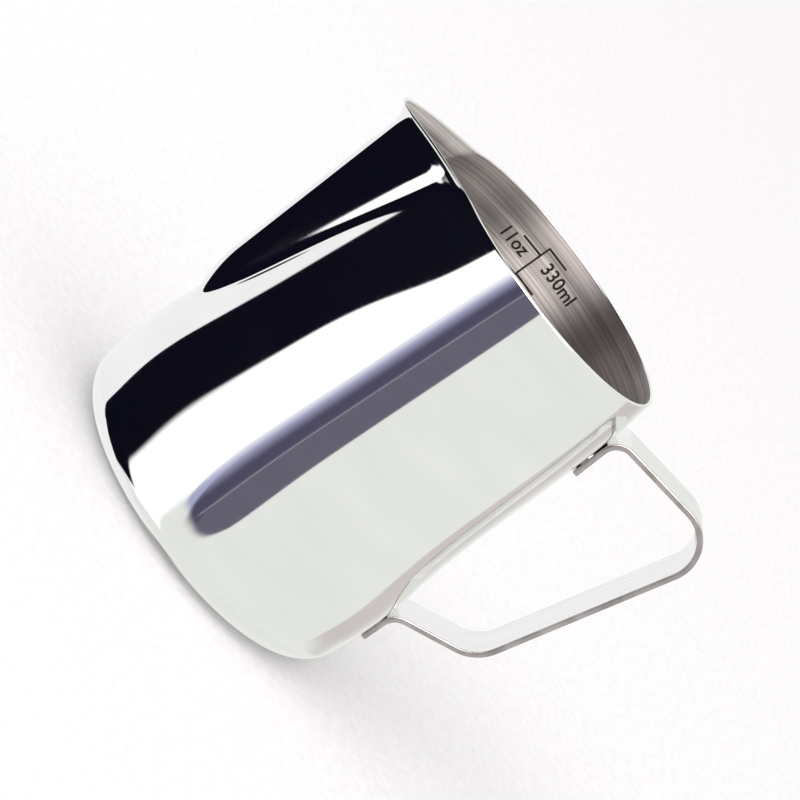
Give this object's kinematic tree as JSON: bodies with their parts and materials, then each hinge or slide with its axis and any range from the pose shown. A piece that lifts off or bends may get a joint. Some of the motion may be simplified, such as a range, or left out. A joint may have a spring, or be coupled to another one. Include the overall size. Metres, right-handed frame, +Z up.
{
  "type": "milk frothing pitcher",
  "caption": "Small polished stainless steel milk frothing pitcher with a pressed V spout and a bent strap handle.",
  "frame": {"origin": "centre of the flat base, on the plane the pitcher stands on", "axes": "+Z up, -X towards the spout, +X towards the handle, symmetric about the XZ plane"},
  "size_m": [0.1119, 0.0772, 0.089],
  "materials": {
    "polished_shell": "polished",
    "polished_strap": "polished",
    "weld_steel": "satin"
  },
  "bodies": {
    "root": {"body_shell": "polished_shell", "handle_strap": "polished_strap", "upper_spot_welds": "weld_steel", "lower_spot_welds": "weld_steel"}
  },
  "joints": []
}
